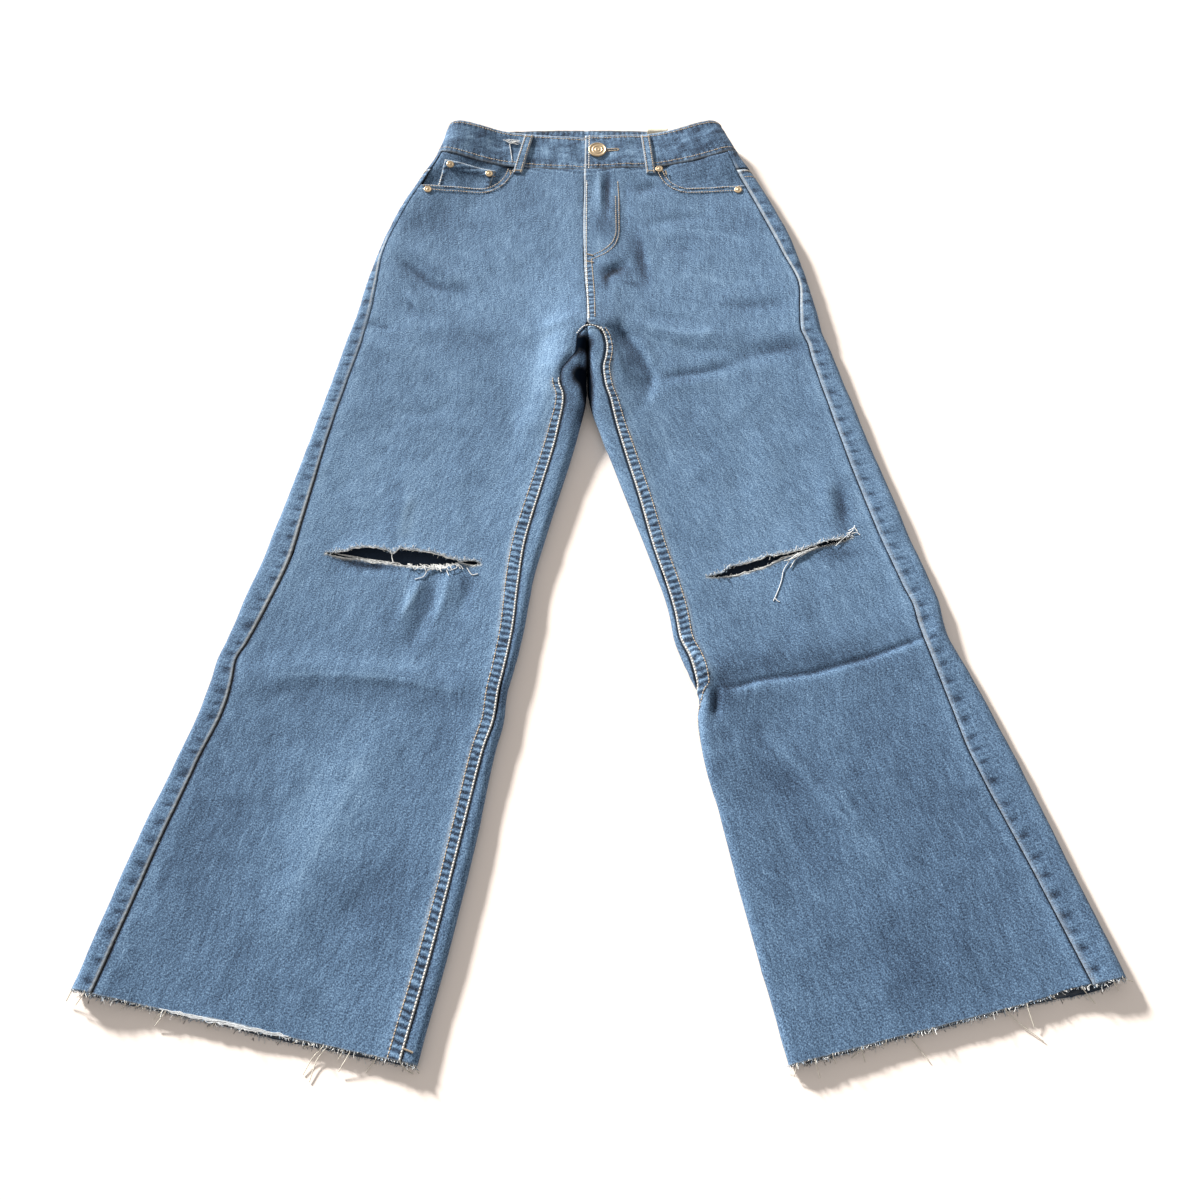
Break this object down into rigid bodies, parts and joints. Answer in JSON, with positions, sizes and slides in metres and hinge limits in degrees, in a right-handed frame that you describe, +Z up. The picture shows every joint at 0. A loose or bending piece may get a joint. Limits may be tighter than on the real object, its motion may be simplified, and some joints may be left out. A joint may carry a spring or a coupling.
{
  "type": "jeans",
  "caption": "High-waisted wide-leg jeans in mid-blue worn denim, ripped across both knees, with frayed raw hems, laid flat on their back.",
  "frame": {"origin": "on the floor under the middle of the garment's box", "axes": "+Y towards the waist, -Y towards the hems; +Z up, out of the front, with the back on the floor; +X towards the viewer's right, the wearer's left"},
  "size_m": [0.885, 1.0479, 0.0283],
  "materials": {
    "denim": "matte",
    "antique_brass": "satin",
    "label_cotton": "matte",
    "zip_tape": "matte"
  },
  "bodies": {
    "root": {"back_left": "denim", "back_pocket_left": "denim", "back_pocket_right": "denim", "back_right": "denim", "belt_loop_back_centre": "denim", "belt_loop_back_left": "denim", "belt_loop_back_right": "denim", "belt_loop_front_left": "denim", "belt_loop_front_right": "denim", "button": "antique_brass", "coin_pocket": "denim", "fly_shield": "denim", "front_left": "denim", "front_right": "denim", "pocket_facing_left": "denim", "pocket_facing_right": "denim", "rivet_coin_inner": "antique_brass", "rivet_coin_outer": "antique_brass", "rivet_mouth_left": "antique_brass", "rivet_mouth_right": "antique_brass", "rivet_mouth_right_inner": "antique_brass", "size_label": "label_cotton", "waistband": "denim", "yoke_left": "denim", "yoke_right": "denim", "zip_slider": "antique_brass", "zip_tape": "zip_tape"}
  },
  "joints": []
}
